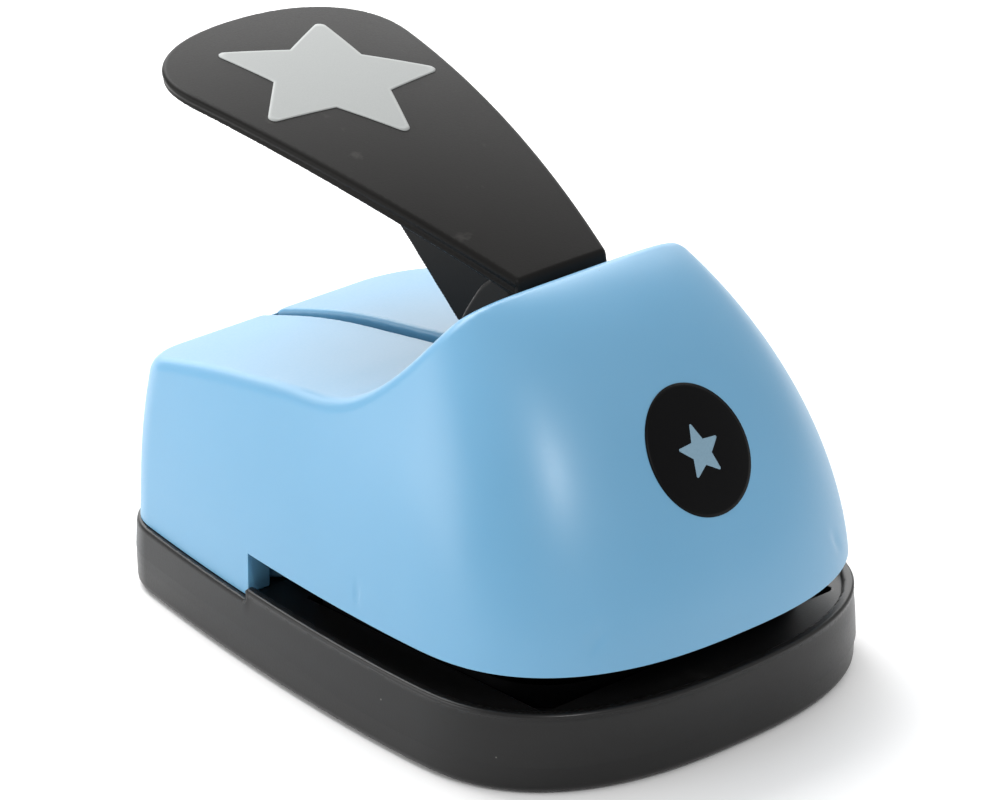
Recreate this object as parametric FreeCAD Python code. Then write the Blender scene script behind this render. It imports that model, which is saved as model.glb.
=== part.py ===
import FreeCAD, Part
import math
import os

# Lever craft punch, millimetres. Origin: centre plane, on the resting plane, near mid-length.
# +Z is up, -Y is the front where paper goes in, +Y is the tail under the lever's free end.

V = FreeCAD.Vector

# --- driving dimensions -------------------------------------------------------
BASE_HALF_WIDTH = 36.05      # widest half-width of the base rim
BASE_FRONT = -47.3           # front end of the base rim
BASE_BACK = 51.2             # back end of the base rim
WIDEST_Y = -22.0             # where the outline is widest
OUTLINE_POWER = 2.48         # squareness of the round front end
TAIL_NARROWING = 0.193       # share of the width lost 62 mm behind the widest place
NARROWING_SPAN = 62.0
NARROWING_POWER = 1.75

RIM_Z = 11.6                 # top of the base rim around the throat
REAR_RIM_Z = 9.95            # lower rim under the tail
DECK_Z = 10.6                # deck inside the rim
DECK_UNDERSIDE_Z = 8.0
RIM_WIDTH = 1.7
TRAY_WALL = 2.2
TRAY_FLARE = 0.55            # how much wider the tray is at the parting line
PARTING_FRONT_Z = 4.0        # height of the cover at the front
PARTING_BACK_Z = 5.6         # height of the cover at the back
PARTING_SHIFT_Y = (-14.0, 14.0)
COVER_FLOOR = 1.8
COVER_STEP = 0.35            # the cover sits this far inside the tray's skin
COVER_EDGE = 1.4

NOTCH_Y = 16.0               # front end of the tail's foot; the throat reaches this far back
HOOD_BOTTOM_Z = 16.5
FOOT_BOTTOM_Z = 10.1
HOOD_TOP_Z = 58.0
HOOD_HALF_WIDTH = 35.0
HOOD_TOP_HALF_WIDTH = 20.2
HOOD_FRONT = -46.7
HOOD_TOP_FRONT = -15.5
HOOD_BACK = 50.8
HOOD_BACK_DRAFT = 0.07
HOOD_WALL = 2.2
HOOD_POWER = 2.5             # squareness of the hood's horizontal sections
DOME_POWER = 1.6             # roundness of the hood's front profile
SIDE_POWER = 2.1             # how the hood's width shrinks with height
CORNER_R = 8.0
SLOT_HALF = 1.4              # slot in the tail for the lever's fin
SLOT_END_Y = 48.3
SLOT_RIB = (1.5, 31.2, 6.0, 46.5)    # the slot's side ribs: thickness, lowest z, first and last y
MOUTH_HALF = 10.6            # opening behind the hood's top edge for the lever
MOUTH_FRONT_Y = -13.4
MOUTH_BACK_Y = 2.4

PIVOT_Y = -26.0
PIVOT_Z = 40.0
SHAFT_R = 3.0
RUNNING = 0.05               # radial running clearance
LEVER_TRAVEL = 26.0          # degrees
CAM_ARM = 13.0
CAM_R = 4.5
GAP = 0.3                    # clearance between the cam and the wear plate
NECK_HALF = 8.0
FIN_HALF = 1.15
PADDLE_THICK = 2.6
PADDLE_END_Y = 55.4
PRINT_Y = 34.6               # centre of the star printed on the paddle
PADDLE_ROUND_Y = 40.0        # the free end's rounding begins here
PADDLE_POWER = 2.5
PADDLE_START_Y = -12.4       # the paddle's front end, tucked behind the hood's top edge
PADDLE_BEND_Y = -9.5         # in front of this the paddle curves down towards the neck
PADDLE_BEND = 0.2
PRINT_THICK = 0.12           # layer of printing ink
PRINT_SCALE = 0.94           # the printed star against the cut one
BADGE_HALVES = (8.6, 7.7)    # half-width and half-height of the hood's print
BADGE_Z = 39.8

STAR_Y = -14.0               # centre of the cut star
STAR_R = 18.0                # before the tips are blunted
STAR_INNER_R = 9.03
STAR_TIP_R = 0.9
DIE_CLEARANCE = 0.04

DIE_BOTTOM_Z = 8.6
DIE_TOP_Z = 12.0
PAPER_GAP = 1.2
STRIPPER_THICK = 2.0
DIE_HALF_X = 27.0
DIE_FRONT_Y = -37.0
DIE_BACK_Y = 9.0
DIE_FRONT_CORNER = 11.0      # the plates' front corners stay well inside the hood
SPACER_DEPTH = 5.0
CHUTE_GROW = 1.2             # the chip hole below the die stands this far outside the star
CHUTE_WALL = 1.6

CARRIER_Z = 27.5             # underside of the punch carrier at rest
CARRIER_THICK = 3.5
CARRIER_HALF_X = 25.0
CARRIER_Y = (-30.0, 4.0)
POST_R = 2.0
POST_X = 20.5
POST_Y = (-24.0, -1.0)
POST_TOP_Z = 34.5
SPRING_R = 3.0
SPRING_WIRE_R = 0.4
SPRING_TURNS = 5
WEAR_THICK = 1.5

EAR_X = (9.0, 13.0)          # inner and outer face of the shaft's bearing ears
EAR_HALF_Y = 6.0
CAP_BOTTOM_Z = 33.0
SHAFT_HALF = 15.2
SCREW_XY = ((23.0, 20.0), (20.0, 41.0))

STRIPPER_Z = DIE_TOP_Z + PAPER_GAP
STRIPPER_TOP_Z = STRIPPER_Z + STRIPPER_THICK
HALF_TRAVEL = math.radians(LEVER_TRAVEL / 2)
CAM_Y = PIVOT_Y + CAM_ARM * math.cos(HALF_TRAVEL)
CAM_Z = PIVOT_Z + CAM_ARM * math.sin(HALF_TRAVEL)
WEAR_TOP_Z = CAM_Z - CAM_R - GAP


# --- outlines -----------------------------------------------------------------
def narrowing(y):
    """Share of the full half-width left at y, towards the tail."""
    behind = max(0.0, y - WIDEST_Y) / NARROWING_SPAN
    return 1.0 - TAIL_NARROWING * behind ** NARROWING_POWER


def plan_points(half_width, front, back, centre_y, power, corner):
    """Right half of a horizontal outline, from the front centre to the back centre."""
    points = []
    steps = 9
    for i in range(steps):
        angle = math.pi / 2 * (1 - i / steps)
        x = half_width * math.cos(angle) ** (2 / power)
        y = centre_y + (front - centre_y) * math.sin(angle) ** (2 / power)
        points.append((x * narrowing(y), y))
    corner_y = back - corner
    steps = 6
    for i in range(steps):
        y = centre_y + (corner_y - centre_y) * i / steps
        points.append((half_width * narrowing(y), y))
    steps = 5
    for i in range(steps + 1):
        angle = math.pi / 2 * i / steps
        y = corner_y + corner * math.sin(angle)
        points.append((half_width * narrowing(y) - corner * (1 - math.cos(angle)), y))
    last_x = points[-1][0]
    points.append((last_x / 2, back))
    points.append((0.0, back))
    return points


def plan_wire(z, half_width, front, back, centre_y, power, corner):
    """Closed smooth outline at height z, symmetric about the centre plane."""
    right = plan_points(half_width, front, back, centre_y, power, corner)
    left = [(-x, y) for x, y in reversed(right[1:-1])]
    curve = Part.BSplineCurve()
    curve.interpolate(Points=[V(x, y, z) for x, y in right + left], PeriodicFlag=True)
    return Part.Wire([curve.toShape()])


def base_wire(z, inset):
    """Outline of the base at height z; a negative inset stands outside the rim."""
    return plan_wire(z, BASE_HALF_WIDTH - inset, BASE_FRONT + inset, BASE_BACK - inset, WIDEST_Y,
                     OUTLINE_POWER, CORNER_R + 1.0)


def hood_section(z, inset):
    """Outline of the housing at height z, inset towards the inside."""
    s = min(max((z - HOOD_BOTTOM_Z) / (HOOD_TOP_Z - HOOD_BOTTOM_Z), 0.0), 1.0)
    half_width = HOOD_HALF_WIDTH - (HOOD_HALF_WIDTH - HOOD_TOP_HALF_WIDTH) * s ** SIDE_POWER
    depth = (HOOD_TOP_FRONT - HOOD_FRONT) * (1 - s ** DOME_POWER) ** (1 / DOME_POWER)
    back = HOOD_BACK - HOOD_BACK_DRAFT * (z - FOOT_BOTTOM_Z)
    return plan_wire(z, half_width - inset, HOOD_TOP_FRONT - depth + inset, back - inset,
                     -21.0 + 14.0 * s, HOOD_POWER, CORNER_R)


def tail_top(y):
    """Height of the tail's top along the centre, rising into the hood's steep back."""
    d = y - 24.0
    ramp = 18.8 * (max(0.0, 10.5 - y) / 25.0) ** 2.7
    crest = 0.45 * math.exp(-((y - 9.0) / 8.0) ** 2)
    return 39.1 - 0.17 * d - 0.0031 * d * d + ramp + crest


def box(x0, x1, y0, y1, z0, z1):
    return Part.makeBox(x1 - x0, y1 - y0, z1 - z0, V(x0, y0, z0))


def upright(radius, x, y, z0, z1):
    return Part.makeCylinder(radius, z1 - z0, V(x, y, z0), V(0, 0, 1))


def crosswise(radius, x0, x1, y, z):
    return Part.makeCylinder(radius, x1 - x0, V(x0, y, z), V(1, 0, 0))


def side_prism(outline, half_x):
    """Solid made by sweeping a closed (y, z) outline across the object."""
    points = [V(-half_x, y, z) for y, z in outline]
    wire = Part.makePolygon(points + points[:1])
    return Part.Face(wire).extrude(V(2 * half_x, 0, 0))


def band_prism(upper, lower, half_x):
    """Solid between two smooth (y, z) lines that run the same way, swept across the object."""
    edges = []
    for line in (upper, lower):
        curve = Part.BSplineCurve()
        curve.interpolate(Points=[V(-half_x, y, z) for y, z in line])
        edges.append(curve.toShape())
    for end in (0, -1):
        first = V(-half_x, *upper[end])
        second = V(-half_x, *lower[end])
        edges.append(Part.LineSegment(first, second).toShape())
    wire = Part.Wire(Part.__sortEdges__(edges))
    return Part.Face(wire).extrude(V(2 * half_x, 0, 0))


def fillet_where(shape, radius, wanted):
    """Round the edges that the test accepts; keep the plain shape where that fails."""
    edges = [e for e in shape.Edges if wanted(e)]
    try:
        rounded = shape.makeFillet(radius, edges)
    except Exception:
        return shape
    return rounded if rounded.isValid() else shape


def star_outline(z, radius, inner_radius, grow, centre_y):
    """Five-point star, one tip to the front, with each tip blunted by a small arc."""
    corners = []
    for k in range(10):
        r = (radius if k % 2 == 0 else inner_radius) + grow
        angle = -math.pi / 2 + k * math.pi / 5
        corners.append(V(r * math.cos(angle), centre_y + r * math.sin(angle), z))
    edges = []
    ends = []
    for k in range(10):
        here = corners[k]
        if k % 2:
            ends.append((here, here))
            continue
        before = (corners[k - 1] - here).normalize()
        after = (corners[(k + 1) % 10] - here).normalize()
        half_angle = before.getAngle(after) / 2
        reach = STAR_TIP_R / math.tan(half_angle)
        middle = (before + after).normalize()
        start = here + before * reach
        end = here + after * reach
        crown = here + middle * (STAR_TIP_R / math.sin(half_angle) - STAR_TIP_R)
        edges.append(Part.Arc(start, crown, end).toShape())
        ends.append((start, end))
    for k in range(10):
        edges.append(Part.LineSegment(ends[k][1], ends[(k + 1) % 10][0]).toShape())
    return Part.Wire(Part.__sortEdges__(edges))


def star_prism(z0, z1, grow=0.0, centre_y=STAR_Y, scale=1.0):
    face = Part.Face(star_outline(z0, STAR_R * scale, STAR_INNER_R * scale, grow, centre_y))
    return face.extrude(V(0, 0, z1 - z0))


# --- base ---------------------------------------------------------------------
def parting_region(lift):
    """Everything below the stepped parting line between tray and cover."""
    y0, y1 = PARTING_SHIFT_Y
    steps = 8
    line = [(-60.0, PARTING_FRONT_Z + lift)]
    for i in range(steps + 1):
        t = i / steps
        ease = t * t * (3 - 2 * t)
        line.append((y0 + (y1 - y0) * t, PARTING_FRONT_Z + (PARTING_BACK_Z - PARTING_FRONT_Z) * ease + lift))
    line.append((70.0, PARTING_BACK_Z + lift))
    return side_prism([(-60.0, -5.0)] + line + [(70.0, -5.0)], 60.0)


def base_tray():
    skin = Part.makeLoft([base_wire(0.0, -TRAY_FLARE), base_wire(6.0, -TRAY_FLARE / 2),
                          base_wire(RIM_Z - 1.2, 0.0), base_wire(RIM_Z - 0.35, 0.3),
                          base_wire(RIM_Z, 1.1)], True, True)
    hollow = Part.makeLoft([base_wire(-1.0, TRAY_WALL - TRAY_FLARE), base_wire(DECK_UNDERSIDE_Z, TRAY_WALL)], True)
    well = Part.makeLoft([base_wire(DECK_Z, RIM_WIDTH + 0.1), base_wire(RIM_Z + 1, RIM_WIDTH - 0.1)], True)
    tray = skin.cut(hollow).cut(well).cut(parting_region(0.0))
    tray = tray.cut(box(-60, 60, NOTCH_Y - 0.15, 70, REAR_RIM_Z, 30))
    tray = tray.cut(box(-DIE_HALF_X - 0.2, DIE_HALF_X + 0.2, DIE_FRONT_Y - 0.2, DIE_BACK_Y + 0.2, DIE_BOTTOM_Z, 30))
    tray = tray.fuse(box(-DIE_HALF_X - 2.5, DIE_HALF_X + 2.5, DIE_FRONT_Y - 2.5, DIE_BACK_Y + 2.5,
                         DIE_BOTTOM_Z - 2.2, DIE_BOTTOM_Z))
    tray = tray.cut(star_prism(0, 30, CHUTE_GROW))
    for x, y in SCREW_XY:
        for side in (-1, 1):
            tray = tray.fuse(upright(4.2, side * x, y, 4.0, REAR_RIM_Z))
            tray = tray.cut(upright(1.7, side * x, y, 0, 30))
            tray = tray.cut(upright(3.2, side * x, y, 0, 6.2))
    for x, y in die_screw_places():
        tray = tray.cut(upright(1.4, x, y, 0, 9.0))
    return tray


def bottom_cover():
    skin = Part.makeLoft([base_wire(0.0, COVER_EDGE), base_wire(0.45, 0.55), base_wire(COVER_EDGE, 0.15),
                          base_wire(4.0, 0.05 - TRAY_FLARE + COVER_STEP), base_wire(7.0, COVER_STEP - TRAY_FLARE)], True, True)
    hollow = Part.makeLoft([base_wire(COVER_FLOOR, TRAY_WALL), base_wire(9.0, TRAY_WALL - 0.2)], True)
    cover = skin.common(parting_region(-0.05)).cut(hollow)
    collar = star_prism(0.6, DIE_BOTTOM_Z - 2.4, CHUTE_GROW + CHUTE_WALL)
    cover = cover.fuse(collar).cut(star_prism(-1, 10, CHUTE_GROW))
    for x, y in SCREW_XY:
        for side in (-1, 1):
            cover = cover.cut(upright(3.4, side * x, y, -1, 6))
    return cover


# --- housing ------------------------------------------------------------------
def housing_block(inset, lift, bottom):
    """Closed outer form of the housing, or of its hollow when inset."""
    top = HOOD_TOP_Z - lift
    levels = [bottom, HOOD_BOTTOM_Z + 1.0, 26.0, 35.0, 43.0, 50.0, 55.0, top]
    stack = Part.makeLoft([hood_section(z, inset) for z in levels], True)
    stations = [60.0, 48.0, 36.0, 26.0, 19.0, 14.0, 9.0, 5.0, 0.0, -4.0, -8.0, -11.0, -14.0, -17.0]
    surface = [(y, tail_top(y) - lift) for y in stations]
    above = [(y, z + 60.0) for y, z in surface]
    return stack.cut(band_prism(above, surface, 60.0))


def housing_shell():
    outer = housing_block(0.0, 0.0, FOOT_BOTTOM_Z)
    hollow = housing_block(HOOD_WALL, HOOD_WALL, FOOT_BOTTOM_Z - 2.0)
    ears = []
    for side in (-1, 1):
        x0, x1 = sorted((side * EAR_X[0], side * EAR_X[1]))
        ears.append(box(x0, x1, PIVOT_Y - EAR_HALF_Y, PIVOT_Y + EAR_HALF_Y, PIVOT_Z, 56.0).common(outer))
    bosses = []
    for x, y in SCREW_XY:
        for side in (-1, 1):
            bosses.append(upright(3.6, side * x, y, FOOT_BOTTOM_Z, 40.0).common(outer))
    thick, rib_z, rib_y0, rib_y1 = SLOT_RIB
    rib = box(-SLOT_HALF - thick, SLOT_HALF + thick, rib_y0, rib_y1, rib_z, 60.0).common(outer)
    shell = outer.cut(hollow).multiFuse(ears + bosses + [rib])
    shell = shell.cut(box(-60, 60, -60, NOTCH_Y, 0, HOOD_BOTTOM_Z))
    shell = shell.cut(box(-SLOT_HALF, SLOT_HALF, -8, SLOT_END_Y, 20, 70))
    shell = shell.cut(box(-MOUTH_HALF, MOUTH_HALF, MOUTH_FRONT_Y, MOUTH_BACK_Y, 30, 70))
    shell = shell.cut(crosswise(SHAFT_R + RUNNING, -20, 20, PIVOT_Y, PIVOT_Z))
    for x, y in SCREW_XY:
        for side in (-1, 1):
            shell = shell.cut(upright(1.25, side * x, y, 0, 24.0))
    for x, y in cap_screw_places():
        shell = shell.cut(upright(0.8, x, y, 0, 45.0))
    return shell


def front_badge():
    """Thin oval print on the hood's front, which looks round where the hood slopes back."""
    half_x, half_z = BADGE_HALVES
    middle = V(0, -60.0, BADGE_Z)
    oval = Part.Ellipse(middle + V(half_x, 0, 0), middle + V(0, 0, half_z), middle)
    core = Part.Face(Part.Wire([oval.toShape()])).extrude(V(0, 30.0, 0))
    outer = housing_block(0.0, 0.0, FOOT_BOTTOM_Z)
    grown = outer.copy()
    grown.translate(V(0, -PRINT_THICK, 0.05))
    return grown.common(core).cut(outer)


# --- die set ------------------------------------------------------------------
def die_screw_places():
    return [(side * x, y) for side in (-1, 1) for x, y in ((20.0, DIE_FRONT_Y + 6.5), (23.0, DIE_BACK_Y - 8.0))]


def rivet_places():
    return [(x, DIE_BACK_Y - SPACER_DEPTH / 2) for x in (-18.0, 0.0, 18.0)]


def rounded_plate(x, y0, y1, z0, z1, corner, front_corner=None):
    """Flat plate with rounded corners; the front two may be rounder."""
    plate = box(-x, x, y0, y1, z0, z1)
    for y, radius in ((y0, front_corner or corner), (y1, corner)):
        uprights = [e for e in plate.Edges if e.BoundBox.ZLength > z1 - z0 - 0.01
                    and e.BoundBox.XLength < 0.01 and abs(e.BoundBox.YMin - y) < 0.01]
        plate = plate.makeFillet(radius, uprights)
    return plate


def die_plate():
    plate = rounded_plate(DIE_HALF_X, DIE_FRONT_Y, DIE_BACK_Y, DIE_BOTTOM_Z, DIE_TOP_Z, 4.0, DIE_FRONT_CORNER)
    plate = plate.cut(star_prism(DIE_BOTTOM_Z - 1, DIE_TOP_Z + 1, DIE_CLEARANCE))
    for x, y in rivet_places():
        plate = plate.cut(upright(1.5, x, y, 0, 20))
    for x, y in die_screw_places():
        plate = plate.cut(upright(1.0, x, y, 0, DIE_TOP_Z - 0.8))
    return plate


def slot_spacer():
    strip = box(-DIE_HALF_X + 1, DIE_HALF_X - 1, DIE_BACK_Y - SPACER_DEPTH, DIE_BACK_Y, DIE_TOP_Z, STRIPPER_Z)
    for x, y in rivet_places():
        strip = strip.cut(upright(1.5, x, y, 0, 20))
    return strip


def stripper_plate():
    plate = rounded_plate(DIE_HALF_X, DIE_FRONT_Y, DIE_BACK_Y, STRIPPER_Z, STRIPPER_TOP_Z, 4.0,
                          DIE_FRONT_CORNER)
    plate = plate.cut(star_prism(10, 20, DIE_CLEARANCE))
    lead_in = box(-DIE_HALF_X, DIE_HALF_X, DIE_FRONT_Y - 1.0, DIE_FRONT_Y + 1.0, 0, 1.0)
    lead_in.rotate(V(0, DIE_FRONT_Y + 1.0, 0), V(1, 0, 0), -35)
    lead_in.translate(V(0, 0, STRIPPER_Z - 0.9))
    plate = plate.cut(lead_in)
    for x, y in rivet_places():
        plate = plate.cut(upright(1.5, x, y, 0, 20))
    for x, y in post_places():
        plate = plate.cut(upright(POST_R, x, y, 0, 20))
    return plate


def die_rivets():
    rivets = []
    for x, y in rivet_places():
        stem = upright(1.5, x, y, DIE_BOTTOM_Z, STRIPPER_TOP_Z)
        head = upright(2.6, x, y, STRIPPER_TOP_Z, STRIPPER_TOP_Z + 0.9)
        rivets.append(stem.fuse(fillet_where(head, 0.5, lambda e: e.BoundBox.ZMin > STRIPPER_TOP_Z + 0.5)))
    return Part.makeCompound(rivets)


def pan_screw(x, y, head_z, tip_z, stem_r, head_r, head_h):
    """Screw driven upwards: pan head below, cross recess in its face."""
    head = upright(head_r, x, y, head_z, head_z + head_h)
    stem = upright(stem_r, x, y, head_z + head_h, tip_z)
    screw = head.fuse(stem)
    for w, h in ((head_r * 0.55, 0.3), (0.3, head_r * 0.55)):
        screw = screw.cut(box(x - w, x + w, y - h, y + h, head_z - 1, head_z + head_h * 0.45))
    return screw


def die_screws():
    return Part.makeCompound([pan_screw(x, y, 4.7, DIE_TOP_Z - 1.2, 1.0, 2.2, 1.7) for x, y in die_screw_places()])


def housing_screws():
    places = [(side * x, y) for x, y in SCREW_XY for side in (-1, 1)]
    return Part.makeCompound([pan_screw(x, y, 4.1, 22.0, 1.25, 2.9, 2.1) for x, y in places])


# --- punch group --------------------------------------------------------------
def post_places():
    return [(side * POST_X, y) for y in POST_Y for side in (-1, 1)]


def guide_post(x, y):
    post = upright(POST_R, x, y, STRIPPER_Z, POST_TOP_Z)
    return fillet_where(post, 0.5, lambda e: e.BoundBox.ZMin > POST_TOP_Z - 0.1)


def return_spring(x, y):
    low = STRIPPER_TOP_Z + 0.05 + SPRING_WIRE_R
    high = CARRIER_Z - 0.05 - SPRING_WIRE_R
    pitch = (high - low) / SPRING_TURNS
    helix = Part.makeHelix(pitch, high - low, SPRING_R)
    helix.translate(V(x, y, low))
    ring = Part.Wire([Part.makeCircle(SPRING_WIRE_R, V(x + SPRING_R, y, low), V(0, 1, 0))])
    return Part.Wire(helix).makePipeShell([ring], True, True)


def punch_carrier():
    plate = rounded_plate(CARRIER_HALF_X, CARRIER_Y[0], CARRIER_Y[1], CARRIER_Z, CARRIER_Z + CARRIER_THICK, 8.0)
    pad = rounded_plate(8.0, CAM_Y - 6.0, CAM_Y + 6.0, CARRIER_Z + 1, WEAR_TOP_Z - WEAR_THICK, 1.5)
    carrier = plate.fuse(pad)
    for side in (-1, 1):
        rib = box(-1.25, 1.25, CARRIER_Y[0] + 3, CARRIER_Y[1] - 3, CARRIER_Z + 1, CARRIER_Z + CARRIER_THICK + 1.0)
        rib.translate(V(side * 16.5, 0, 0))
        carrier = carrier.fuse(rib)
    for x, y in post_places():
        collar = upright(POST_R + 2.2, x, y, CARRIER_Z, CARRIER_Z + CARRIER_THICK + 1.5)
        carrier = carrier.fuse(collar).cut(upright(POST_R + RUNNING, x, y, 0, 60))
    for x, y in punch_screw_places():
        carrier = carrier.cut(upright(1.3, x, y, 0, 60)).cut(upright(2.4, x, y, CARRIER_Z + 1.8, 60))
    return carrier.removeSplitter()


def punch_screw_places():
    return [(side * 11.0, STAR_Y - 3.5) for side in (-1, 1)]


def punch_screws():
    screws = []
    for x, y in punch_screw_places():
        screw = pan_screw(x, y, 0.0, 7.0, 1.1, 2.1, 1.5)
        screw.rotate(V(x, y, 0), V(0, 1, 0), 180)
        screw.translate(V(0, 0, CARRIER_Z + 3.3))
        screws.append(screw)
    return Part.makeCompound(screws)


def star_punch():
    """Hardened star-shaped punch with a hollow-ground face that leaves the tips lowest."""
    body = star_prism(STRIPPER_Z + 0.5, CARRIER_Z)
    grind = Part.makeCylinder(60.0, 60.0, V(-30, STAR_Y, STRIPPER_Z + 0.5 - 58.9), V(1, 0, 0))
    body = body.cut(grind)
    for x, y in punch_screw_places():
        body = body.cut(upright(1.1, x, y, CARRIER_Z - 4.5, CARRIER_Z + 1))
    return body


def wear_plate():
    return rounded_plate(7.0, CAM_Y - 5.5, CAM_Y + 5.0, WEAR_TOP_Z - WEAR_THICK, WEAR_TOP_Z, 1.0)


# --- lever --------------------------------------------------------------------
def lever_top(y):
    """Height of the paddle's top surface along the centre: a gentle arc that flattens out."""
    d = y - 32.0
    return 72.0 + 0.205 * d - 0.0024 * d * d


def paddle_half(y):
    """Half-width of the paddle: widest near the free end, closing to a broad round end."""
    body = 11.75 + 0.275 * y - 0.0017 * y * y
    end = max(0.0, (y - PADDLE_ROUND_Y) / (PADDLE_END_Y - PADDLE_ROUND_Y))
    return body * max(0.0, 1 - end ** PADDLE_POWER) ** (1 / PADDLE_POWER)


def paddle():
    y_first = PADDLE_START_Y
    y_last = PADDLE_ROUND_Y
    y_end = PADDLE_END_Y
    right = []
    steps = 6
    for i in range(steps):
        y = y_first + (y_last - y_first) * i / steps
        right.append((paddle_half(y), y))
    steps = 7
    for i in range(steps):
        angle = math.pi / 2 * i / steps
        y = y_last + (y_end - y_last) * math.sin(angle) ** (2 / PADDLE_POWER)
        right.append((paddle_half(y), y))
    right.append((0.0, y_end))
    outline = right + [(-x, y) for x, y in reversed(right[:-1])]
    curve = Part.BSplineCurve()
    curve.interpolate(Points=[V(x, y, 30) for x, y in outline])
    closing = Part.LineSegment(V(outline[-1][0], y_first, 30), V(outline[0][0], y_first, 30))
    blank = Part.Face(Part.Wire([curve.toShape(), closing.toShape()])).extrude(V(0, 0, 60))
    top = paddle_line()
    under = [(y, z - PADDLE_THICK) for y, z in top]
    return blank.common(band_prism(top, under, 40.0))


def paddle_line():
    """(y, z) stations along the paddle's top."""
    stations = [-14.0, -12.6, -11.2, -9.5, -7.0, -4.0] + list(range(0, 70, 4))
    return [(y, lever_top(y) - PADDLE_BEND * max(0, PADDLE_BEND_Y - y) ** 2) for y in stations]


def lever():
    hub_r = SHAFT_R + 3.0
    hub = crosswise(hub_r, -NECK_HALF, NECK_HALF, PIVOT_Y, PIVOT_Z)
    cam = crosswise(CAM_R, -6.0, 6.0, CAM_Y, CAM_Z)
    arm = side_prism([(PIVOT_Y + 2, PIVOT_Z - 0.5), (CAM_Y, CAM_Z - 1.5), (CAM_Y + 3.5, CAM_Z + 2),
                      (PIVOT_Y + 2, PIVOT_Z + 5.8)], 6.0)
    neck = side_prism([(PIVOT_Y - 1, PIVOT_Z + hub_r), (-15.0, 50.3), (-11.0, 54.6), (-8.6, lever_top(-8.6) - 1.0),
                       (-7.4, lever_top(-7.4) - 1.5), (-5.6, 56.5), (-4.2, 55.2), (-2.5, 52.9), (-0.8, 50.2),
                       (0.6, 46.0), (-1.0, 42.9),
                       (-8.0, 41.7), (PIVOT_Y + 4, PIVOT_Z - 1)], NECK_HALF)
    fin = side_prism([(-9.0, 42.5), (-2.0, 38.4), (2.0, 38.8), (6.4, 43.6), (38.0, lever_top(38.0) - 1.2),
                      (20.0, lever_top(20) - 1.2), (0.0, lever_top(0) - 1.2), (-9.0, 56.0)], FIN_HALF)
    shape = paddle().multiFuse([hub, cam, arm, neck, fin])
    shape = shape.cut(crosswise(SHAFT_R + RUNNING, -20, 20, PIVOT_Y, PIVOT_Z))
    return shape


def lever_star_print():
    """Thin light print on the paddle's top."""
    blank = star_prism(50, 90, 0.0, PRINT_Y, PRINT_SCALE)
    top = paddle_line()
    film = band_prism([(y, z + PRINT_THICK) for y, z in top], top, 40.0)
    return blank.common(film)


# --- pivot --------------------------------------------------------------------
def cap_screw_places():
    return [(side * (EAR_X[0] + EAR_X[1]) / 2, PIVOT_Y + dy) for side in (-1, 1) for dy in (-4.5, 4.5)]


def pivot_shaft():
    shaft = crosswise(SHAFT_R, -SHAFT_HALF, SHAFT_HALF, PIVOT_Y, PIVOT_Z)
    for side in (-1, 1):
        x0, x1 = sorted((side * 13.3, side * 14.2))
        groove = crosswise(SHAFT_R + 1, x0, x1, PIVOT_Y, PIVOT_Z).cut(crosswise(SHAFT_R - 0.5, x0, x1, PIVOT_Y, PIVOT_Z))
        shaft = shaft.cut(groove)
    return shaft


def shaft_clip(side):
    x0, x1 = sorted((side * 13.35, side * 14.15))
    ring = crosswise(5.0, x0, x1, PIVOT_Y, PIVOT_Z).cut(crosswise(SHAFT_R - 0.45, x0, x1, PIVOT_Y, PIVOT_Z))
    return ring.cut(box(x0 - 1, x1 + 1, PIVOT_Y - 2.0, PIVOT_Y + 2.0, PIVOT_Z - 8, PIVOT_Z))


def pivot_cap(side):
    x0, x1 = sorted((side * EAR_X[0], side * EAR_X[1]))
    cap = box(x0, x1, PIVOT_Y - EAR_HALF_Y, PIVOT_Y + EAR_HALF_Y, CAP_BOTTOM_Z, PIVOT_Z)
    cap = cap.cut(crosswise(SHAFT_R + RUNNING, -20, 20, PIVOT_Y, PIVOT_Z))
    for x, y in cap_screw_places():
        cap = cap.cut(upright(0.8, x, y, 0, 60))
    return cap


def cap_screws():
    return Part.makeCompound([pan_screw(x, y, CAP_BOTTOM_Z - 1.1, 44.0, 0.8, 1.5, 1.1) for x, y in cap_screw_places()])


def build():
    parts = {
        "base_tray": base_tray(),
        "bottom_cover": bottom_cover(),
        "housing_shell": housing_shell(),
        "front_badge": front_badge(),
        "housing_screws": housing_screws(),
        "die_plate": die_plate(),
        "slot_spacer": slot_spacer(),
        "stripper_plate": stripper_plate(),
        "die_rivets": die_rivets(),
        "die_screws": die_screws(),
        "punch_carrier": punch_carrier(),
        "wear_plate": wear_plate(),
        "star_punch": star_punch(),
        "punch_screws": punch_screws(),
        "lever": lever(),
        "lever_star_print": lever_star_print(),
        "pivot_shaft": pivot_shaft(),
        "shaft_clip_left": shaft_clip(-1),
        "shaft_clip_right": shaft_clip(1),
        "pivot_cap_left": pivot_cap(-1),
        "pivot_cap_right": pivot_cap(1),
        "cap_screws": cap_screws(),
    }
    names = ("front_left", "front_right", "rear_left", "rear_right")
    for name, (x, y) in zip(names, post_places()):
        parts["guide_post_" + name] = guide_post(x, y)
        parts["return_spring_" + name] = return_spring(x, y)
    return parts


os.makedirs("parts", exist_ok=True)
for node, shape in build().items():
    shape.exportStep("parts/" + node + ".step")
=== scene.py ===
import itertools
import math

import bpy
import numpy as np
from mathutils import Matrix


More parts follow.
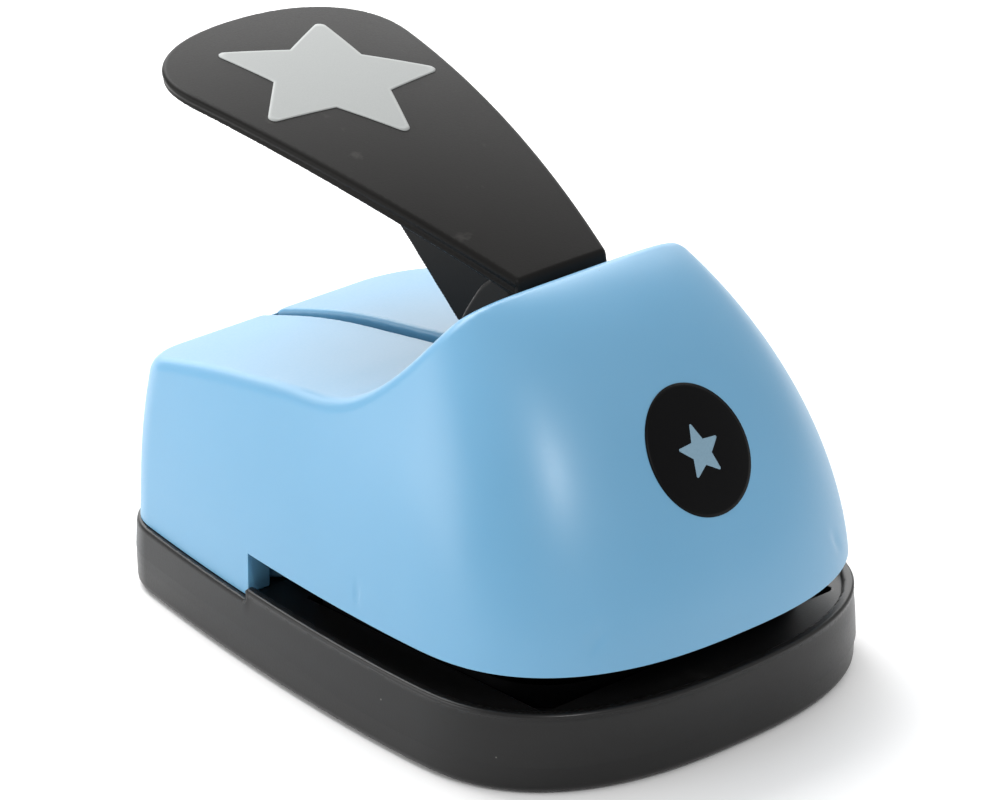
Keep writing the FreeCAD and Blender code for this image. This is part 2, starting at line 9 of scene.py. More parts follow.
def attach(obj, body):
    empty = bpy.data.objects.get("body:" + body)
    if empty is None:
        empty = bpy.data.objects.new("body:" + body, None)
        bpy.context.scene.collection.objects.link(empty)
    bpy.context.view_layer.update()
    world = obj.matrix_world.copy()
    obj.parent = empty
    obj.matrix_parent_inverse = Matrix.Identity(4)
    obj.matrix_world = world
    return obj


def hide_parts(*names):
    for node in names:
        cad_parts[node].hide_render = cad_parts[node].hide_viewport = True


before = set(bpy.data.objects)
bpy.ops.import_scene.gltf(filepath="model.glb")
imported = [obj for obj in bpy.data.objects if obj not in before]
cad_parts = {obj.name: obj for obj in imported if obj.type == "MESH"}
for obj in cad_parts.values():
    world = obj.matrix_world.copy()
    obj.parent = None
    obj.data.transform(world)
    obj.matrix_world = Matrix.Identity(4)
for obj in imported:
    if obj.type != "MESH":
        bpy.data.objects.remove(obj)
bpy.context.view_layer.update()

# Looks of the craft punch. Forms are written in millimetres in the CAD's frame: origin under the
# middle, -Y the front, +Z up. Each large moulding is a field, negative inside, which is meshed.
MM = 0.001

# --- driving dimensions ---------------------------------------------------------
# They are the CAD's, apart from HOOD_TOP, RIM_WIDTH, the roundings and the paddle's bend.
# Base: outline, rim around the throat, deck, and the stepped line between tray and cover.
BASE_HALF, BASE_FRONT, BASE_BACK = 36.05, -47.3, 51.2
BASE_CORNER = 9.0                           # of the rear corners
BASE_POWER = 2.48                           # of the superellipse round the front
WIDEST_Y = -22.0                            # behind it the whole body narrows
NARROWING, NARROWING_LENGTH, NARROWING_POWER = 0.193, 62.0, 1.75
RIM_Z, REAR_RIM_Z = 11.6, 9.95
RIM_WIDTH, RIM_ROUND = 1.6, 0.6
DECK_Z, DECK_UNDER_Z = 10.6, 8.0
TRAY_WALL, TRAY_FLARE, FLARE_END_Z = 2.2, 0.55, 10.4
PARTING_Z, PARTING_Y = (4.0, 5.6), (-14.0, 14.0)

# Housing: hood, tail, the slot for the lever's fin with its ribs, and the lever's mouth.
HOOD_BOTTOM, FOOT_BOTTOM, HOOD_TOP = 16.5, 10.1, 58.3
HOOD_HALF, HOOD_TOP_HALF = 35.0, 20.2
HOOD_FRONT, HOOD_TOP_FRONT, HOOD_BACK = -46.7, -15.5, 50.8
HOOD_WALL, HOOD_CORNER, RIDGE_ROUND = 2.2, 8.0, 1.8
NOTCH_Y = 16.0                              # where the throat ends at the sides
SLOT_HALF, SLOT_Y = 1.4, (-8.0, 48.3)
RIB_THICK, RIB_Z, RIB_Y = 1.5, 31.2, (6.0, 46.5)
MOUTH_HALF, MOUTH_Y = 10.6, (-13.4, 2.4)

# Lever: pivot, cam and paddle.
PIVOT_Y, PIVOT_Z, BORE_R = -26.0, 40.0, 3.05
CAM_ARM, CAM_R, LEVER_TRAVEL = 13.0, 4.5, 26.0
CAM_Y = PIVOT_Y + CAM_ARM * math.cos(math.radians(LEVER_TRAVEL / 2))
CAM_Z = PIVOT_Z + CAM_ARM * math.sin(math.radians(LEVER_TRAVEL / 2))
PADDLE_FRONT, PADDLE_ROUND_Y, PADDLE_END, PADDLE_THICK = -12.4, 40.0, 55.4, 2.6
BEND_Y, BEND = -11.5, 1.7                   # the paddle's front end curves down from BEND_Y

# Stars, die, screws and badge.
STAR_Y, STAR_R, STAR_INNER_R, STAR_TIP_R = -14.0, 18.0, 9.03, 0.9
PRINT_Y, PRINT_SCALE = 34.6, 0.94           # the printed star, a little smaller than the cut one
DIE_HALF, DIE_Y, DIE_BOTTOM = 27.0, (-37.0, 9.0), 8.6
SCREWS = ((23.0, 20.0), (20.0, 41.0))       # x and y of the housing screws on one side
BADGE_R, BADGE_HIGH, BADGE_Z = 8.6, 7.7, 39.8
BADGE_STAR_R, BADGE_STAR_INNER_R, BADGE_STAR_TIP_R = 3.9, 1.75, 0.2

ACROSS = -1.0      # just past the middle plane: where a box written in |x| begins


# --- field tools ----------------------------------------------------------------
def round_max(a, b, r):
    """Where both forms overlap, with the edge between them rounded to radius r."""
    u = np.maximum(r + a, 0.0)
    w = np.maximum(r + b, 0.0)
    return np.minimum(-r, np.maximum(a, b)) + np.sqrt(u * u + w * w)


def round_min(a, b, r):
    """Both forms together, with a fillet of radius r where they meet."""
    return -round_max(-a, -b, r)


def levelled(form, x, y, z, h=0.05):
    """A form's value divided by its slope, so that it reads as a distance near its surface."""
    dx = form(x + h, y, z) - form(x - h, y, z)
    dy = form(x, y + h, z) - form(x, y - h, z)
    dz = form(x, y, z + h) - form(x, y, z - h)
    return form(x, y, z) / (np.sqrt(dx * dx + dy * dy + dz * dz) / (2 * h) + 1e-6)


def box_field(x, y, z, low, high):
    """Sharp-edged box."""
    value = np.maximum(low[0] - x, x - high[0])
    value = np.maximum(value, np.maximum(low[1] - y, y - high[1]))
    return np.maximum(value, np.maximum(low[2] - z, z - high[2]))


def polygon_field(a, b, corners):
    """Signed distance in a plane to a closed polygon."""
    best = None
    inside = False
    for (a0, b0), (a1, b1) in zip(corners, corners[1:] + corners[:1]):
        ea, eb = a1 - a0, b1 - b0
        t = np.clip(((a - a0) * ea + (b - b0) * eb) / (ea * ea + eb * eb), 0.0, 1.0)
        d = (a - a0 - t * ea) ** 2 + (b - b0 - t * eb) ** 2
        best = d if best is None else np.minimum(best, d)
        crosses = (b0 > b) != (b1 > b)
        slant = eb if abs(eb) > 1e-9 else 1e-9
        inside = inside ^ (crosses & (a < a0 + ea * (b - b0) / slant))
    return np.where(inside, -1.0, 1.0) * np.sqrt(best)


def star_field(x, y, grow, centre_y):
    """Five-point star with one tip to the front and each tip rounded."""
    both = STAR_R ** 2 + STAR_INNER_R ** 2
    chord = math.sqrt(both - 2 * STAR_R * STAR_INNER_R * math.cos(math.pi / 5))
    reach = STAR_R * STAR_INNER_R * math.sin(math.pi / 5) / chord
    shrink = (reach - STAR_TIP_R) / reach
    corners = []
    for k in range(10):
        r = shrink * (STAR_INNER_R if k % 2 else STAR_R)
        angle = -math.pi / 2 + k * math.pi / 5
        corners.append((r * math.cos(angle), centre_y + r * math.sin(angle)))
    return polygon_field(x, y, corners) - STAR_TIP_R - grow


def smoothed(line, per_span):
    """Points on a smooth curve through the given (y, z) points."""
    points = [line[0]] + list(line) + [line[-1]]
    curve = []
    for i in range(1, len(points) - 2):
        p = np.array(points[i - 1:i + 3], float)
        for k in range(per_span):
            t = k / per_span
            curve.append(tuple(0.5 * (2 * p[1] + (p[2] - p[0]) * t
                                      + (2 * p[0] - 5 * p[1] + 4 * p[2] - p[3]) * t ** 2
                                      + (3 * p[1] - p[0] - 3 * p[2] + p[3]) * t ** 3)))
    return curve + [tuple(line[-1])]


# --- meshing --------------------------------------------------------------------
def surface_net(field, low, high, cell):
    """Quads around the surface of a field that is symmetric about x = 0."""
    counts = [int(math.ceil(high[0] / cell)) + 2]
    counts += [int(math.ceil((high[i] - low[i]) / cell)) + 3 for i in (1, 2)]
    half_x = (np.arange(counts[0]) + 0.5) * cell
    ys = low[1] - cell + np.arange(counts[1]) * cell
    zs = low[2] - cell + np.arange(counts[2]) * cell
    right = field(half_x[:, None, None], ys[None, :, None], zs[None, None, :])
    right = np.broadcast_to(right, tuple(counts))
    values = np.concatenate([right[::-1], right])
    inside = values < 0
    n = np.array(values.shape) - 1
    offsets = np.array(list(itertools.product((0, 1), repeat=3)))
    filled = np.zeros(tuple(n), np.uint8)
    for i, j, k in offsets:
        filled += inside[i:n[0] + i, j:n[1] + j, k:n[2] + k]
    active = (filled > 0) & (filled < 8)
    cells = np.argwhere(active)
    number = np.full(active.shape, -1, np.int64)
    number[active] = np.arange(len(cells))
    total = np.zeros((len(cells), 3))
    hits = np.zeros(len(cells))
    for a, b in itertools.combinations(offsets, 2):
        if np.abs(a - b).sum() != 1:
            continue
        va = values[tuple((cells + a).T)]
        vb = values[tuple((cells + b).T)]
        cross = (va < 0) != (vb < 0)
        t = va[cross] / (va[cross] - vb[cross])
        total[cross] += a + t[:, None] * (b - a)
        hits[cross] += 1
    origin = np.array([-half_x[-1], ys[0], zs[0]])
    points = origin + (cells + total / hits[:, None]) * cell
    corners = origin + (cells[:, None, :] + offsets[None]) * cell
    quads = []
    for axis in range(3):
        first = np.take(inside, np.arange(n[axis]), axis)
        second = np.take(inside, np.arange(1, n[axis] + 1), axis)
        p = np.argwhere(first != second)
        one, two = (axis + 1) % 3, (axis + 2) % 3
        keep = (p[:, one] > 0) & (p[:, two] > 0) & (p[:, one] < n[one]) & (p[:, two] < n[two])
        p = p[keep]
        e1, e2 = np.eye(3, dtype=int)[one], np.eye(3, dtype=int)[two]
        here = np.zeros(3, int)
        loop = np.stack([number[tuple((p - d).T)] for d in (e1 + e2, e2, here, e1)], 1)
        outward = first[tuple(p.T)]
        quads.append(np.where(outward[:, None], loop, loop[:, ::-1]))
    return points, np.concatenate(quads), corners


def slope(field, points, h=0.02):
    """The field's gradient at the points."""
    x, y, z = points.T
    return np.stack([field(x + h, y, z) - field(x - h, y, z),
                     field(x, y + h, z) - field(x, y - h, z),
                     field(x, y, z + h) - field(x, y, z - h)], 1) / (2 * h)


def limited(move, most):
    """Moves shortened to a greatest length."""
    length = np.sqrt((move * move).sum(1)) + 1e-9
    return move * np.minimum(1.0, most / length)[:, None]


def settle(field, points, cell):
    """Move the points onto the field's surface, by less than half a cell."""
    g = slope(field, points)
    step = field(*points.T) / (np.sum(g * g, 1) + 1e-6)
    return points - limited(g * step[:, None], 0.4 * cell)


def crease_points(crease, corners):
    """Numbers of the cells that both surfaces of a crease pass through."""
    first, second, where = crease
    middle = corners.mean(1)
    chosen = np.flatnonzero(where(*middle.T))
    for form in (second, first):
        value = form(*np.moveaxis(corners[chosen], 2, 0))
        chosen = chosen[(value.min(1) < 0) & (value.max(1) > 0)]
    return chosen


def pinned(points, crease, cell):
    """Points moved onto the line where a crease's two surfaces meet."""
    first, second = crease[:2]
    for _ in range(2):
        a, b = first(*points.T), second(*points.T)
        ga, gb = slope(first, points), slope(second, points)
        aa, bb, ab = (ga * ga).sum(1), (gb * gb).sum(1), (ga * gb).sum(1)
        det = aa * bb - ab * ab + 1e-6
        share_a, share_b = (bb * a - ab * b) / det, (aa * b - ab * a) / det
        move = share_a[:, None] * ga + share_b[:, None] * gb
        points = points - limited(move, cell)
    return points


def evened(points, quads):
    """Each point moved half-way to the middle of the faces around it."""
    centres = points[quads].mean(1)
    flat = quads.ravel()
    count = np.bincount(flat, minlength=len(points))
    sums = [np.bincount(flat, np.repeat(centres[:, i], 4), len(points)) for i in range(3)]
    return points + 0.5 * (np.stack(sums, 1) / count[:, None] - points)


def new_object(name, points, faces):
    """Object in the scene with a mesh from points in millimetres."""
    mesh = bpy.data.meshes.new(name)
    mesh.from_pydata((np.asarray(points) * MM).tolist(), [], [tuple(f) for f in faces])
    mesh.update()
    obj = bpy.data.objects.new(name, mesh)
    bpy.context.scene.collection.objects.link(obj)
    return obj


ROUNDS = 3             # of evening and settling
NORMAL_SHIFT = 0.4     # along a crease a normal is read this far towards its face's middle


def mould(name, field, low, high, cell, body, material, nodes, creases=()):
    """One moulded piece: mesh the field, settle it on its surface and let it ride its body."""
    points, quads, corners = surface_net(field, low, high, cell)
    lines = [(crease, crease_points(crease, corners)) for crease in creases]
    for _ in range(ROUNDS):
        points = settle(field, evened(points, quads), cell)
        for crease, at in lines:
            points[at] = pinned(points[at], crease, cell)
    points = settle(field, points, cell)
    sharp = np.zeros(len(points), bool)
    for crease, at in lines:
        points[at] = pinned(points[at], crease, cell)
        sharp[at] = True
    obj = new_object(name, points, quads.tolist())
    obj.data.shade_smooth()
    loops = quads.ravel()
    normals = slope(field, points)[loops]
    parted = sharp[loops]
    middles = np.repeat(points[quads].mean(1), 4, 0)[parted]
    normals[parted] = slope(field, points[loops[parted]] * (1 - NORMAL_SHIFT) + middles * NORMAL_SHIFT)
    normals /= np.sqrt(np.sum(normals ** 2, 1))[:, None] + 1e-9
    obj.data.normals_split_custom_set(normals.tolist())
    obj.data.materials.append(material)
    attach(obj, body)
    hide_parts(*nodes)
    return obj


# --- base -----------------------------------------------------------------------
LIP_DROP, LIP_OUT = 0.95, 0.18           # fine raised line below the rim's top
LIP_ABOVE, LIP_BELOW, LIP_FADE = 0.3, 1.8, 1.5
RIM_STEP_Y = NOTCH_Y - 0.15              # the rim steps down here, under the foot's front
DECK_FILLET = 0.4
STAR_GAP = 1.2                           # between the cut star and the openings below it
POCKET_GAP, POCKET_FILLET = 0.2, 0.2     # around the die plate
SHELF_OUT, SHELF_THICK = 2.5, 2.2        # below the die plate
POCKET = ((ACROSS, DIE_Y[0] - POCKET_GAP, DIE_BOTTOM), (DIE_HALF + POCKET_GAP, DIE_Y[1] + POCKET_GAP, 30.0))
SHELF = ((ACROSS, DIE_Y[0] - SHELF_OUT, DIE_BOTTOM - SHELF_THICK),
         (DIE_HALF + SHELF_OUT, DIE_Y[1] + SHELF_OUT, DIE_BOTTOM))
TRAY_POST_R, TRAY_POST_FOOT, SCREW_HOLE_R = 4.2, 4.0, 1.7
SCREW_HEAD_R, SCREW_HEAD_Z = 3.2, 6.2
COVER_PROUD, COVER_DRAFT, COVER_DRAFT_Z = 0.2, 0.15, 4.0
COVER_FLOOR, COVER_EDGE, PARTING_GAP = 1.8, 1.3, 0.02
COLLAR_WALL, COLLAR_Z, CHUTE_EDGE = 1.6, (0.6, 6.2), 0.4
FOOT_HOLE_R, FOOT_HOLE_EDGE = 3.4, 0.3


def narrowing(y):
    """Share of the full width at y: the body narrows towards the tail."""
    return 1.0 - NARROWING * (np.maximum(0.0, y - WIDEST_Y) / NARROWING_LENGTH) ** NARROWING_POWER


def base_outline(x, y):
    """Distance from the base's outline, negative inside."""
    def share(x, y, z):
        u = np.abs(x) / (BASE_HALF * narrowing(y))
        w = np.maximum(WIDEST_Y - y, 0.0) / (WIDEST_Y - BASE_FRONT)
        return (u ** BASE_POWER + w ** BASE_POWER + 1e-12) ** (1 / BASE_POWER) - 1.0
    return round_max(levelled(share, x, y, 0.0), y - BASE_BACK, BASE_CORNER)


def eased(t):
    """Smooth step from 0 to 1."""
    t = np.clip(t, 0.0, 1.0)
    return t * t * (3 - 2 * t)


def parting(y):
    """Height of the stepped line between tray and cover."""
    share = eased((y - PARTING_Y[0]) / (PARTING_Y[1] - PARTING_Y[0]))
    return PARTING_Z[0] + (PARTING_Z[1] - PARTING_Z[0]) * share


def tube(a, b, centre_a, centre_b, r):
    """Round bar seen end on."""
    return np.sqrt((a - centre_a) ** 2 + (b - centre_b) ** 2) - r


def tray_skin(x, y, z):
    return base_outline(x, y) - TRAY_FLARE * np.clip(1 - z / FLARE_END_Z, 0.0, 1.0)


def above_parting(x, y, z):
    return parting(y) - z + 0.0 * x


def rim_lip(y, z):
    """How far the fine line below the rim's top stands out around the throat."""
    drop = z - RIM_Z + LIP_DROP
    width = np.where(drop > 0, LIP_ABOVE, LIP_BELOW)
    return LIP_OUT * np.exp(-(drop / width) ** 2) * eased((NOTCH_Y - y) / LIP_FADE)


def tray_field(x, y, z):
    outline = base_outline(x, y)
    rim = np.maximum(z - RIM_Z, np.minimum(z - REAR_RIM_Z, y - RIM_STEP_Y))
    form = round_max(tray_skin(x, y, z) + rim_lip(y, z), rim, RIM_ROUND)
    well = np.maximum(outline + RIM_WIDTH, DECK_Z - z)
    form = round_max(form, -well, DECK_FILLET)
    hollow = np.maximum(outline + TRAY_WALL - 0.5 * TRAY_FLARE, z - DECK_UNDER_Z)
    form = np.maximum(form, -hollow)
    ax = np.abs(x)
    form = round_max(form, -box_field(ax, y, z, *POCKET), POCKET_FILLET)
    form = np.minimum(form, box_field(ax, y, z, *SHELF))
    for cx, cy in SCREWS:
        post = np.maximum(tube(ax, y, cx, cy, TRAY_POST_R), np.maximum(TRAY_POST_FOOT - z, z - REAR_RIM_Z))
        form = np.minimum(form, post)
        form = np.maximum(form, -tube(ax, y, cx, cy, SCREW_HOLE_R))
        form = np.maximum(form, -np.maximum(tube(ax, y, cx, cy, SCREW_HEAD_R), z - SCREW_HEAD_Z))
    form = np.maximum(form, -star_field(x, y, STAR_GAP, STAR_Y))
    return np.maximum(form, above_parting(x, y, z))


def cover_skin(x, y, z):
    return base_outline(x, y) - COVER_PROUD + COVER_DRAFT * np.clip(1 - z / COVER_DRAFT_Z, 0.0, 1.0)


def below_parting(x, y, z):
    return z - parting(y) + PARTING_GAP + 0.0 * x


def cover_field(x, y, z):
    outline = base_outline(x, y)
    form = round_max(cover_skin(x, y, z), -z, COVER_EDGE)
    form = np.maximum(form, below_parting(x, y, z))
    hollow = np.maximum(outline + TRAY_WALL, COVER_FLOOR - z)
    form = np.maximum(form, -hollow)
    chute = star_field(x, y, STAR_GAP, STAR_Y)
    collar = np.maximum(chute - COLLAR_WALL, np.maximum(COLLAR_Z[0] - z, z - COLLAR_Z[1]))
    form = np.minimum(form, collar)
    form = round_max(form, -chute, CHUTE_EDGE)
    for cx, cy in SCREWS:
        form = round_max(form, -tube(np.abs(x), y, cx, cy, FOOT_HOLE_R), FOOT_HOLE_EDGE)
    return form


# --- housing --------------------------------------------------------------------
HOOD_LEAN_POWER = 2.1                    # how late the hood's sides lean in
HOOD_NOSE_POWER = 1.6                    # of the nose's profile
HOOD_POWER = 2.5                         # of the hood's horizontal sections
HOOD_CENTRE_Y, HOOD_CENTRE_SHIFT = -21.0, 14.0
BACK_DRAFT = 0.07
TAIL_Y, TAIL_Z, TAIL_FALL, TAIL_CURVE = 24.0, 39.1, 0.17, 0.0031
RAMP_Y, RAMP_LENGTH, RAMP_Z, RAMP_POWER = 10.5, 25.0, 18.8, 2.7     # the tail sweeping up to the hood
SWELL_Y, SWELL_LENGTH, SWELL_Z = 9.0, 8.0, 0.45
DISH_Z, DISH_HALF = 0.9, 27.0            # hollow of the tail's top between its ridges
DISH_START, DISH_IN, DISH_END, DISH_OUT = -14.0, 12.0, 38.0, 30.0
SINK_MARKS = ((-9.0, 20.0), (-42.0, 21.0))      # y and z of the small vertical sink marks
SINK_HALF, SINK_LONG, SINK_DEPTH = 0.5, 1.7, 0.2
CREASE_REACH = 0.3                       # how far a crease is looked for past its ends
LID_FALL, LID_HALF, LID_POWER = 1.0, 19.0, 6
# The wall is thicker at the foot's front end and along the hood's lower edge.
TOE_THICK, TOE_BACK, TOE_FADE_Y, TOE_FADE_Z = 1.8, 2.6, 1.0, 2.0
SHELL_INNER_ROUND, SHELL_EDGE = 1.0, 0.35
EAR = ((9.0, PIVOT_Y - 6, PIVOT_Z), (13.0, PIVOT_Y + 6, 56.0))
BOSS_R, BOSS_BORE_R, BOSS_BORE_Z = 3.6, 1.25, 24.0
BURIED, RIB_BURIED = 0.3, 0.01           # how far inside the outer skin ears, bosses and ribs stop
RIB = ((ACROSS, RIB_Y[0], RIB_Z), (SLOT_HALF + RIB_THICK, RIB_Y[1], 60.0))
SLOT = ((ACROSS, SLOT_Y[0], 20.0), (SLOT_HALF, SLOT_Y[1], 70.0))
SLOT_EDGE, MOUTH_EDGE, MOUTH_CORNER, MOUTH_FLOOR = 0.7, 0.5, 1.2, 30.0
BORE_HALF = 20.0


def hood_share(x, y, z):
    """How far out a point lies on the hood's horizontal section, less one."""
    s = np.clip((z - HOOD_BOTTOM) / (HOOD_TOP - HOOD_BOTTOM), 0.0, 1.0)
    half = (HOOD_HALF - (HOOD_HALF - HOOD_TOP_HALF) * s ** HOOD_LEAN_POWER) * narrowing(y)
    reach = (1 - s ** HOOD_NOSE_POWER) ** (1 / HOOD_NOSE_POWER)
    front = HOOD_TOP_FRONT - (HOOD_TOP_FRONT - HOOD_FRONT) * reach
    centre = HOOD_CENTRE_Y + HOOD_CENTRE_SHIFT * s
    u = np.abs(x) / half
    w = np.maximum(centre - y, 0.0) / (centre - front)
    return (u ** HOOD_POWER + w ** HOOD_POWER + 1e-12) ** (1 / HOOD_POWER) - 1.0


def tail_top(y):
    """Height of the tail's ridges."""
    d = y - TAIL_Y
    ramp = RAMP_Z * (np.maximum(0.0, RAMP_Y - y) / RAMP_LENGTH) ** RAMP_POWER
    swell = SWELL_Z * np.exp(-((y - SWELL_Y) / SWELL_LENGTH) ** 2)
    return TAIL_Z - TAIL_FALL * d - TAIL_CURVE * d * d + ramp + swell


def tail_surface(x, y):
    """The tail's top, slightly dished between its ridges near the hood."""
    dish = DISH_Z * eased((DISH_END - y) / DISH_OUT) * eased((y - DISH_START) / DISH_IN)
    return tail_top(y) - dish * np.clip(1 - (x / DISH_HALF) ** 2, 0.0, 1.0)


def hood_wall(x, y, z):
    """Distance from the sides, nose and back, with the sink marks."""
    side = levelled(hood_share, x, y, z)
    for mark_y, mark_z in SINK_MARKS:
        across = ((y - mark_y) / SINK_HALF) ** 2
        along = ((z - mark_z) / SINK_LONG) ** 2
        side = side + SINK_DEPTH * np.exp(-across - along)
    return round_max(side, y - HOOD_BACK + BACK_DRAFT * (z - FOOT_BOTTOM), HOOD_CORNER)


def tail_form(x, y, z, h=0.05):
    """Distance from the tail's top."""
    lean = (tail_surface(x, y + h) - tail_surface(x, y - h)) / (2 * h)
    return (z - tail_surface(x, y)) / np.sqrt(1 + lean * lean)


def mouth(x, y):
    return round_max(np.abs(x) - MOUTH_HALF, np.maximum(MOUTH_Y[0] - y, y - MOUTH_Y[1]), MOUTH_CORNER)


def hood_lid(x, z):
    """The hood's highest edge: level in the middle and falling towards the corners."""
    return z - HOOD_TOP + LID_FALL * (np.minimum(np.abs(x), LID_HALF) / LID_HALF) ** LID_POWER


# Lower edges of the hood and of the tail's foot, and the upright edge of the notch between them.
HOUSING_CREASES = (
    (hood_wall, lambda x, y, z: HOOD_BOTTOM - z, lambda x, y, z: y < NOTCH_Y + CREASE_REACH),
    (hood_wall, lambda x, y, z: FOOT_BOTTOM - z, lambda x, y, z: y > NOTCH_Y - CREASE_REACH),
    (hood_wall, lambda x, y, z: NOTCH_Y - y,
     lambda x, y, z: (z < HOOD_BOTTOM + CREASE_REACH) & (z > FOOT_BOTTOM - CREASE_REACH)),
)


def housing_field(x, y, z):
    ax = np.abs(x)
    top = tail_form(x, y, z)
    capped = np.maximum(hood_wall(x, y, z), hood_lid(x, z))
    outer = round_max(capped, top, RIDGE_ROUND)
    inner = round_max(capped + HOOD_WALL, top + HOOD_WALL, SHELL_INNER_ROUND)
    toe = (TOE_THICK * eased((NOTCH_Y + TOE_BACK - y) / TOE_FADE_Y)
           * eased((HOOD_BOTTOM + 0.5 * TOE_FADE_Z - z) / TOE_FADE_Z))
    shell = round_max(outer, -(inner + toe), SHELL_EDGE)
    shell = np.minimum(shell, np.maximum(box_field(ax, y, z, *EAR), outer + BURIED))
    for cx, cy in SCREWS:
        shell = np.minimum(shell, np.maximum(tube(ax, y, cx, cy, BOSS_R), outer + BURIED))
        shell = np.maximum(shell, -np.maximum(tube(ax, y, cx, cy, BOSS_BORE_R), z - BOSS_BORE_Z))
    shell = np.minimum(shell, np.maximum(box_field(ax, y, z, *RIB), outer + RIB_BURIED))
    below = np.minimum(HOOD_BOTTOM - z, np.maximum(FOOT_BOTTOM - z, NOTCH_Y - y))
    shell = np.maximum(shell, below)
    shell = round_max(shell, -box_field(ax, y, z, *SLOT), SLOT_EDGE)
    shell = round_max(shell, -np.maximum(mouth(x, y), MOUTH_FLOOR - z), MOUTH_EDGE)
    bore = np.maximum(tube(y, z, PIVOT_Y, PIVOT_Z, BORE_R), ax - BORE_HALF)
    return np.maximum(shell, -bore)


# --- lever ----------------------------------------------------------------------
LEVER_Y, LEVER_Z, LEVER_RISE, LEVER_CURVE = 32.0, 72.0, 0.205, 0.0024
PADDLE_HALF, PADDLE_WIDENING, PADDLE_WIDTH_CURVE, PADDLE_POWER = 11.75, 0.275, 0.0017, 2.3
CROWN, CROWN_HALF = 0.7, 20.0            # fall of the paddle's top at CROWN_HALF from its middle line
GROOVE_DEPTH, GROOVE_DROP, GROOVE_HALF = 0.3, 1.35, 0.42     # fine groove round the paddle's edge
PADDLE_END_ROUND, PADDLE_TOP_ROUND, PADDLE_UNDER_ROUND = 0.5, 0.7, 0.6
NECK_HALF, NECK_ROUND, FIN_HALF, FIN_ROUND = 8.0, 0.7, 1.15, 0.3
HUB_R, HUB_ROUND, CAM_HALF = 6.0, 0.5, 6.0
FIN_FILLET, PADDLE_FILLET = 0.5, 0.6


def lever_top(y):
    """Height of the paddle's middle line."""
    d = y - LEVER_Y
    return LEVER_Z + LEVER_RISE * d - LEVER_CURVE * d * d - BEND * np.maximum(0.0, BEND_Y - y) ** 2


def lever_slant(y):
    """Length of the paddle's middle line for each millimetre of y."""
    rise = LEVER_RISE - 2 * LEVER_CURVE * (y - LEVER_Y) + 2 * BEND * np.maximum(0.0, BEND_Y - y)
    return np.sqrt(1 + rise ** 2)


def paddle_share(x, y, z):
    """How far out a point lies on the paddle's outline, less one."""
    body = PADDLE_HALF + PADDLE_WIDENING * y - PADDLE_WIDTH_CURVE * y * y
    end = np.maximum(0.0, (y - PADDLE_ROUND_Y) / (PADDLE_END - PADDLE_ROUND_Y))
    return ((np.abs(x) / body) ** PADDLE_POWER + end ** PADDLE_POWER + 1e-12) ** (1 / PADDLE_POWER) - 1.0


def paddle_crown(x):
    """How far the paddle's top falls away from its middle line."""
    return CROWN * (x / CROWN_HALF) ** 2


def paddle_surface(x, y):
    return lever_top(y) - paddle_crown(x)


def below_top(y, depth):
    """Corner of a side outline, this far below the paddle's top."""
    return (y, lever_top(y) - depth)


# Side outlines as (y, z) corners.
REAR_CHEEK = smoothed([below_top(-7.4, 1.8), (-5.8, 56.6), (-4.2, 55.2), (-2.5, 52.9), (-0.8, 50.2),
                       (0.3, 47.8), (0.6, 46.0), (-1.0, 42.9)], 4)
NECK = [(PIVOT_Y - 1, PIVOT_Z + 6), (-15.0, 50.3), (-11.0, 54.6), below_top(-8.6, 1.0)]
NECK += REAR_CHEEK + [(-8.0, 41.7), (PIVOT_Y + 4, PIVOT_Z - 1)]
FIN = [(-9.0, 42.5), (-2.0, 38.4), (2.0, 38.8), (6.4, 43.6), below_top(38.0, 1.2),
       below_top(20.0, 1.2), below_top(0.0, 1.2), (-9.0, 56.0)]
ARM = [(PIVOT_Y + 2, PIVOT_Z - 0.5), (CAM_Y, CAM_Z - 1.5), (CAM_Y + 3.5, CAM_Z + 2),
       (PIVOT_Y + 2, PIVOT_Z + 5.8)]


def lever_field(x, y, z):
    ax = np.abs(x)
    fall = (z - lever_top(y)) / lever_slant(y)
    drop = fall + paddle_crown(x)
    edge = round_max(levelled(paddle_share, x, y, 0.0), PADDLE_FRONT - y, PADDLE_END_ROUND)
    edge = edge + GROOVE_DEPTH * np.exp(-((drop + GROOVE_DROP) / GROOVE_HALF) ** 2)
    paddle = round_max(edge, drop, PADDLE_TOP_ROUND)
    paddle = round_max(paddle, -fall - PADDLE_THICK, PADDLE_UNDER_ROUND)
    neck = round_max(polygon_field(y, z, NECK), ax - NECK_HALF, NECK_ROUND)
    fin = round_max(polygon_field(y, z, FIN), ax - FIN_HALF, FIN_ROUND)
    hub = round_max(tube(y, z, PIVOT_Y, PIVOT_Z, HUB_R), ax - NECK_HALF, HUB_ROUND)
    arm = np.minimum(tube(y, z, CAM_Y, CAM_Z, CAM_R), polygon_field(y, z, ARM))
    cam = round_max(arm, ax - CAM_HALF, HUB_ROUND)
    form = np.minimum(np.minimum(neck, hub), cam)
    form = round_min(form, fin, FIN_FILLET)
    form = round_min(form, paddle, PADDLE_FILLET)
    return np.maximum(form, -tube(y, z, PIVOT_Y, PIVOT_Z, BORE_R))


# --- thin prints ----------------------------------------------------------------
FILM_FOOT = 0.03               # how far a print's edge reaches into the piece below it


